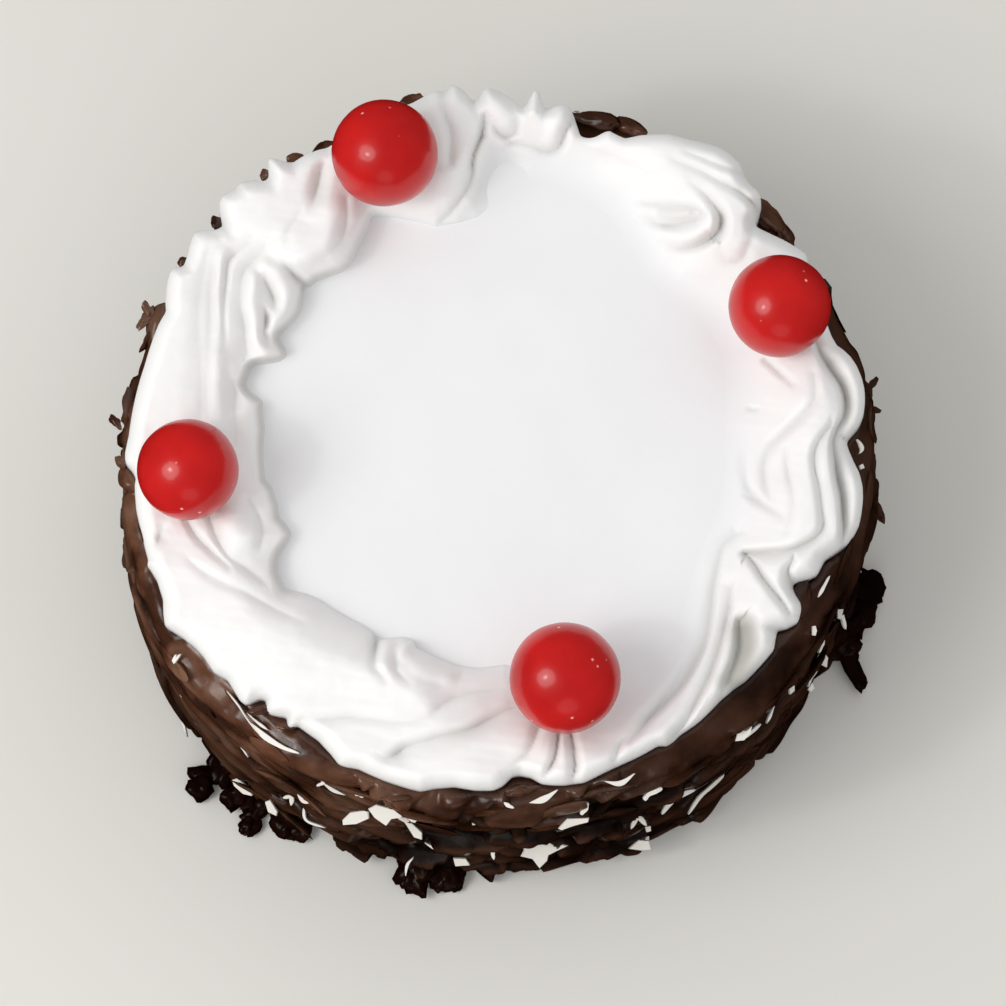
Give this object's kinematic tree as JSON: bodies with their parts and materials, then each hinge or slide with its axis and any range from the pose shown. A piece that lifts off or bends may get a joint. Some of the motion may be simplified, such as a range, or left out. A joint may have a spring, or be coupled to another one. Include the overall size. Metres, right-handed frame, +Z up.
{
  "type": "black forest cake",
  "caption": "Small round cake with a side coated in dark chocolate shards, a flat white cream top, a piped cream border and candied cherries set in it.",
  "frame": {"origin": "middle of the cake's base, on the surface that it stands on", "axes": "+Z up, -Y towards the front, +X to the right seen from the front"},
  "size_m": [0.1165, 0.1125, 0.0653],
  "materials": {
    "chocolate": "satin dark chocolate shavings",
    "cream": "smooth spread whipped cream",
    "piped_cream": "soft piped whipped cream",
    "cherry": "waxy gloss of a candied cherry"
  },
  "bodies": {
    "root": {"cake": "chocolate", "cream_top": "cream", "cream_border": "piped_cream", "cherry_1": "cherry", "cherry_2": "cherry", "cherry_3": "cherry", "cherry_4": "cherry"}
  },
  "joints": []
}
